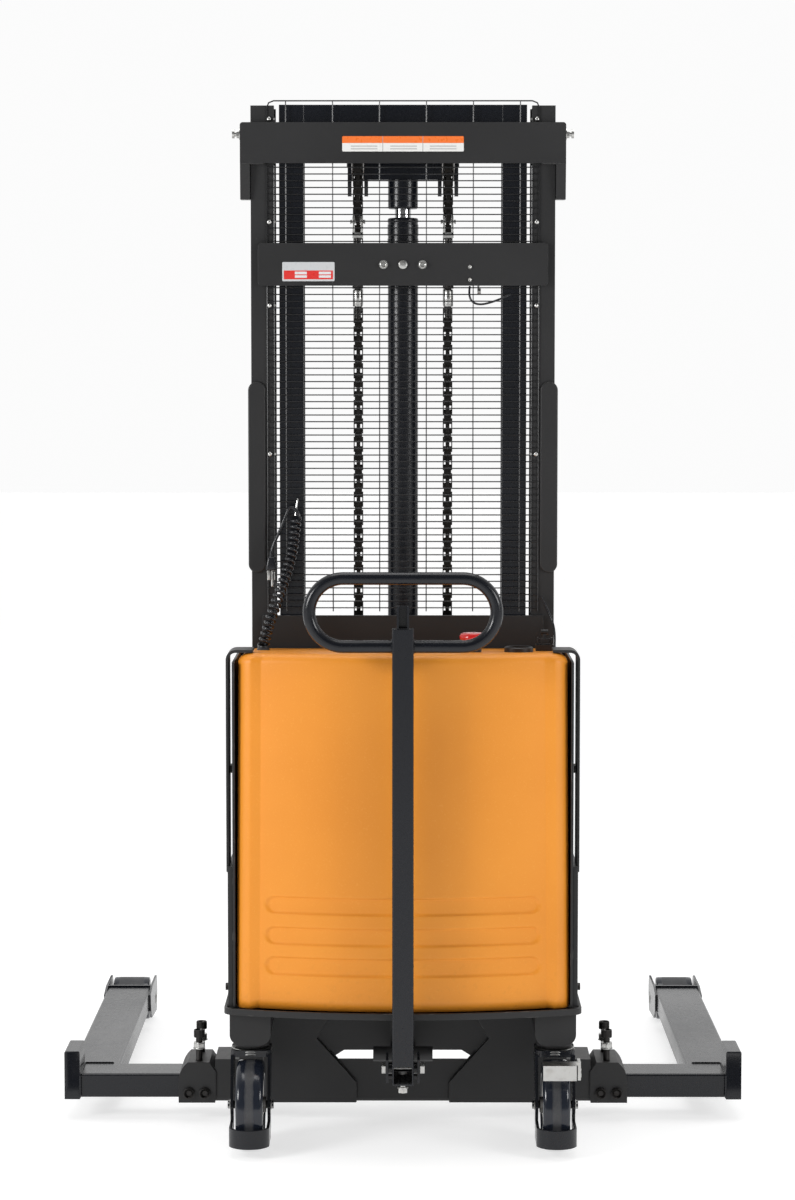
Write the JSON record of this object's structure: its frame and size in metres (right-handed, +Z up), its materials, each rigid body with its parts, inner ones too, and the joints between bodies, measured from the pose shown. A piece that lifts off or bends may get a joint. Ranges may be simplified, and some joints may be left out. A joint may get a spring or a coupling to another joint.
{
  "type": "walkie stacker",
  "caption": "Walk-behind straddle stacker: two-stage mast with centre cylinder and chains, forks, adjustable outriggers, swivel casters, orange hood and a tiller with a loop handle.",
  "frame": {"origin": "on the floor under the middle of the machine's bounding box, cord left out", "axes": "+X to the operator's right, +Y towards the fork tips, +Z up"},
  "size_m": [1.408, 1.718, 2.108],
  "materials": {
    "frame_paint": "satin black paint",
    "mast_paint": "satin black paint",
    "navy_paint": "dark blue-black gloss paint",
    "fork_paint": "satin black paint",
    "hood_plastic": "fine orange-peel texture, satin",
    "black_oxide": "black oxide",
    "zinc": "zinc plated",
    "chrome_rod": "hard chrome",
    "roller_steel": "greased bearing steel",
    "chain_steel": "oiled black steel",
    "mesh_wire": "black powder coat",
    "wheel_polyurethane": "dark polyurethane",
    "battery_case": "moulded",
    "aluminium_case": "finned case",
    "control_plastic": "moulded",
    "red_plastic": "moulded",
    "cord_rubber": "smooth"
  },
  "bodies": {
    "chassis": {"cross_member": "frame_paint", "outrigger_clamps": "frame_paint", "clamp_screws": "black_oxide", "frame_side_plates": "frame_paint", "caster_arms": "frame_paint", "battery_tray": "frame_paint", "hood": "hood_plastic", "inner_panel": "frame_paint", "side_guards": "frame_paint", "battery": "battery_case", "charger": "aluminium_case", "power_unit": "frame_paint", "hydraulic_pipe": "zinc", "outer_uprights": "mast_paint", "top_beam": "mast_paint", "mid_beam": "mast_paint", "lower_beam": "mast_paint", "mesh_guard": "mesh_wire", "side_handles": "mast_paint", "cylinder_barrel": "navy_paint", "chain_anchors": "zinc", "anchor_chains": "chain_steel", "frame_bolts": "zinc", "tow_bracket": "frame_paint", "panel_bases": "control_plastic", "limit_switch": "control_plastic", "switch_cable": "cord_rubber", "charger_cord_coil": "cord_rubber", "charger_cord_tail": "cord_rubber", "charger_plug": "cord_rubber"},
    "inner_mast": {"inner_uprights": "navy_paint", "inner_ties": "navy_paint", "crosshead": "navy_paint", "cylinder_rod": "chrome_rod", "chain_wraps": "chain_steel"},
    "carriage": {"carriage_frame": "mast_paint", "carriage_chains": "chain_steel"},
    "fork_left": {"fork_left": "fork_paint"},
    "fork_right": {"fork_right": "fork_paint"},
    "outrigger_left": {"outrigger_left": "navy_paint"},
    "outrigger_right": {"outrigger_right": "navy_paint"},
    "load_wheel_left": {"load_wheel_left": "wheel_polyurethane"},
    "load_wheel_right": {"load_wheel_right": "wheel_polyurethane"},
    "caster_left": {"caster_fork_left": "frame_paint"},
    "caster_right": {"caster_fork_right": "frame_paint"},
    "caster_wheel_left": {"caster_wheel_left": "wheel_polyurethane"},
    "caster_wheel_right": {"caster_wheel_right": "wheel_polyurethane"},
    "brake_pedal": {"brake_pedal": "zinc"},
    "steering_knuckle": {"tiller_knuckle": "navy_paint", "tilt_bolt": "zinc"},
    "tiller": {"tiller_tube": "navy_paint", "tiller_loop": "navy_paint"},
    "stop_button": {"estop_button": "red_plastic"},
    "lift_lever": {"lift_lever": "control_plastic"},
    "limit_arm": {"limit_arm": "zinc"},
    "outer_mast_rollers": {"outer_mast_rollers": "roller_steel"},
    "inner_mast_rollers": {"inner_mast_rollers": "roller_steel"},
    "carriage_rollers_lower": {"carriage_rollers_lower": "roller_steel"},
    "carriage_rollers_upper": {"carriage_rollers_upper": "roller_steel"},
    "chain_sheaves": {"chain_sheaves": "roller_steel"}
  },
  "joints": [
    {"name": "mast_lift", "type": "slide", "parent": "chassis", "child": "inner_mast", "axis": [0, 0, 1], "range_m": [0, 1.455], "deforming": ["anchor_chains"]},
    {"name": "carriage_lift", "type": "slide", "parent": "inner_mast", "child": "carriage", "axis": [0, 0, 1], "range_m": [0, 1.455], "deforming": ["carriage_chains"]},
    {"name": "outer_roller_spin", "type": "hinge", "parent": "chassis", "child": "outer_mast_rollers", "pos_m": [0, -0.388, 2.045], "axis": [1, 0, 0], "range_deg": [-2274.8, 1]},
    {"name": "inner_roller_spin", "type": "hinge", "parent": "inner_mast", "child": "inner_mast_rollers", "pos_m": [0, -0.388, 0.178], "axis": [1, 0, 0], "range_deg": [-1955.3, 1]},
    {"name": "lower_carriage_roller_spin", "type": "hinge", "parent": "carriage", "child": "carriage_rollers_lower", "pos_m": [0, -0.388, 0.226], "axis": [1, 0, 0], "range_deg": [-2274.8, 1]},
    {"name": "upper_carriage_roller_spin", "type": "hinge", "parent": "carriage", "child": "carriage_rollers_upper", "pos_m": [0, -0.388, 0.415], "axis": [1, 0, 0], "range_deg": [-2274.8, 1]},
    {"name": "sheave_spin", "type": "hinge", "parent": "inner_mast", "child": "chain_sheaves", "pos_m": [0, -0.384, 1.985], "axis": [1, 0, 0], "range_deg": [-1, 2385.2]},
    {"name": "fork_left_shift", "type": "slide", "parent": "carriage", "child": "fork_left", "axis": [1, 0, 0], "range_m": [0, 0.17]},
    {"name": "fork_right_shift", "type": "slide", "parent": "carriage", "child": "fork_right", "axis": [1, 0, 0], "range_m": [-0.17, 0]},
    {"name": "outrigger_left_shift", "type": "slide", "parent": "chassis", "child": "outrigger_left", "axis": [1, 0, 0], "range_m": [-0.038, 0.114]},
    {"name": "outrigger_right_shift", "type": "slide", "parent": "chassis", "child": "outrigger_right", "axis": [1, 0, 0], "range_m": [-0.114, 0.038]},
    {"name": "load_wheel_left_spin", "type": "hinge", "parent": "outrigger_left", "child": "load_wheel_left", "pos_m": [-0.649, 0.545, 0.05], "axis": [1, 0, 0], "continuous": true},
    {"name": "load_wheel_right_spin", "type": "hinge", "parent": "outrigger_right", "child": "load_wheel_right", "pos_m": [0.649, 0.545, 0.05], "axis": [1, 0, 0], "continuous": true},
    {"name": "caster_left_swivel", "type": "hinge", "parent": "chassis", "child": "caster_left", "pos_m": [-0.305, -0.679, 0.192], "axis": [0, 0, 1], "continuous": true},
    {"name": "caster_right_swivel", "type": "hinge", "parent": "chassis", "child": "caster_right", "pos_m": [0.305, -0.679, 0.192], "axis": [0, 0, 1], "continuous": true},
    {"name": "caster_wheel_left_spin", "type": "hinge", "parent": "caster_left", "child": "caster_wheel_left", "pos_m": [-0.305, -0.719, 0.09], "axis": [1, 0, 0], "continuous": true},
    {"name": "caster_wheel_right_spin", "type": "hinge", "parent": "caster_right", "child": "caster_wheel_right", "pos_m": [0.305, -0.719, 0.09], "axis": [1, 0, 0], "continuous": true},
    {"name": "brake_pedal_press", "type": "hinge", "parent": "caster_right", "child": "brake_pedal", "pos_m": [0.35, -0.759, 0.163], "axis": [1, 0, 0], "range_deg": [0, 12], "stiffness_Nm_per_rad": 6, "springref_deg": -6.88},
    {"name": "tiller_steer", "type": "hinge", "parent": "chassis", "child": "steering_knuckle", "pos_m": [0, -0.755, 0.156], "axis": [0, 0, 1], "range_deg": [-28, 28]},
    {"name": "tiller_tilt", "type": "hinge", "parent": "steering_knuckle", "child": "tiller", "pos_m": [0, -0.79, 0.18], "axis": [1, 0, 0], "range_deg": [0, 75], "stiffness_Nm_per_rad": 18, "springref_deg": -28.65},
    {"name": "stop_button_push", "type": "slide", "parent": "chassis", "child": "stop_button", "axis": [0, 0, 1], "range_m": [-0.005, 0], "stiffness_N_per_m": 900, "springref_m": 0.003},
    {"name": "lift_lever_tilt", "type": "hinge", "parent": "chassis", "child": "lift_lever", "pos_m": [0.286, -0.6, 1.014], "axis": [1, 0, 0], "range_deg": [-18, 18], "stiffness_Nm_per_rad": 0.6},
    {"name": "limit_arm_swing", "type": "hinge", "parent": "chassis", "child": "limit_arm", "pos_m": [0.155, -0.43, 1.744], "axis": [1, 0, 0], "range_deg": [-6, 20], "stiffness_Nm_per_rad": 0.2}
  ],
  "couplings": [
    {"joint": "carriage_lift", "follows": "mast_lift", "ratio": 1},
    {"joint": "outer_roller_spin", "follows": "mast_lift", "rad_per_m": -27.248},
    {"joint": "inner_roller_spin", "follows": "mast_lift", "rad_per_m": -23.419},
    {"joint": "lower_carriage_roller_spin", "follows": "mast_lift", "rad_per_m": -27.248},
    {"joint": "upper_carriage_roller_spin", "follows": "mast_lift", "rad_per_m": -27.248},
    {"joint": "sheave_spin", "follows": "mast_lift", "rad_per_m": 28.571}
  ]
}
